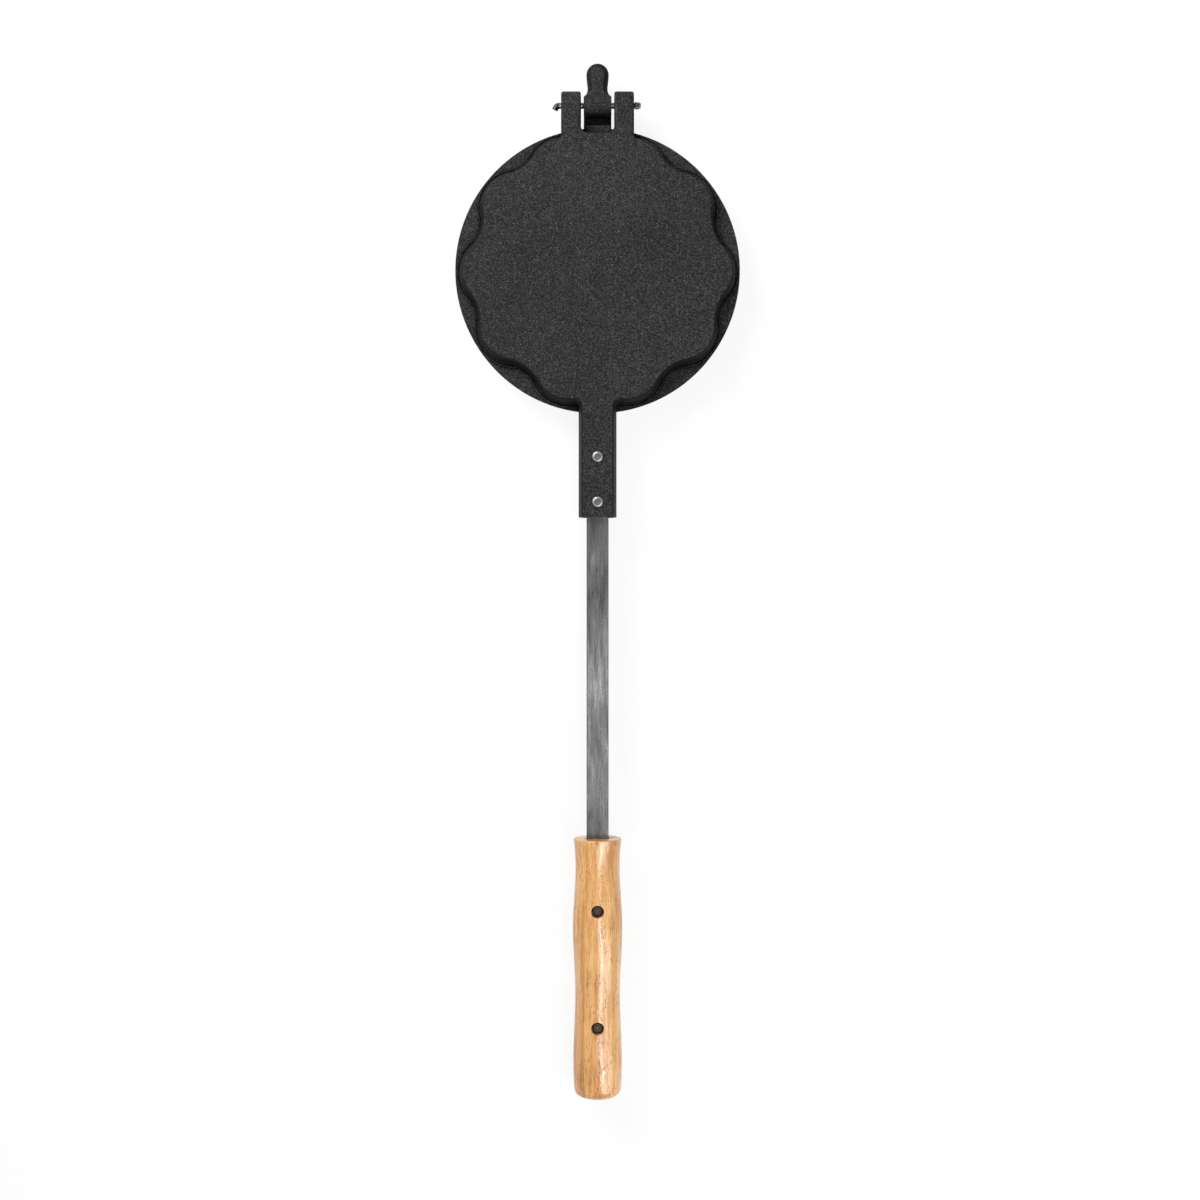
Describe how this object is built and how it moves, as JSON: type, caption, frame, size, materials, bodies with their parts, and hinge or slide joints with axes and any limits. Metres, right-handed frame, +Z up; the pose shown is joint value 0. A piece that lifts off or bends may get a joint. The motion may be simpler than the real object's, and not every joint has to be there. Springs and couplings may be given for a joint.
{
  "type": "campfire waffle iron",
  "caption": "Long-handled campfire waffle iron: two hinged cast plates with heart-shaped moulds, flat steel bars and half-round wooden grips that close into one round grip.",
  "frame": {"origin": "centre of the lower plate's flat back, on which the iron rests", "axes": "+Z up through the closed plates, +Y from the handle towards the hinge, +X to the right"},
  "size_m": [0.2078, 0.7522, 0.0366],
  "materials": {
    "casting": "fine sand-cast grain, black, satin",
    "zinc": "bright zinc plate",
    "bar_steel": "brushed lengthwise",
    "rivet_steel": "peened, slightly dull",
    "grip_wood": "oiled, turned along the grain",
    "dark_steel": "darkened, sunk in the wood"
  },
  "bodies": {
    "lower_half": {"lower_plate": "casting", "lower_bar": "bar_steel", "lower_stem_rivet_1": "rivet_steel", "lower_stem_rivet_2": "rivet_steel", "lower_grip": "grip_wood", "lower_grip_rivet_1": "dark_steel", "lower_grip_rivet_2": "dark_steel"},
    "upper_half": {"upper_plate": "casting", "upper_bar": "bar_steel", "upper_stem_rivet_1": "rivet_steel", "upper_stem_rivet_2": "rivet_steel", "upper_grip": "grip_wood", "upper_grip_rivet_1": "dark_steel", "upper_grip_rivet_2": "dark_steel"},
    "split_pin": {"hinge_pin": "zinc"}
  },
  "joints": [
    {"name": "hinge", "type": "hinge", "parent": "lower_half", "child": "upper_half", "pos_m": [0, 0.12, 0.0187], "axis": [-1, 0, 0], "range_deg": [0, 143]},
    {"name": "pin_turn", "type": "hinge", "parent": "lower_half", "child": "split_pin", "pos_m": [0, 0.12, 0.0187], "axis": [-1, 0, 0], "continuous": true}
  ]
}
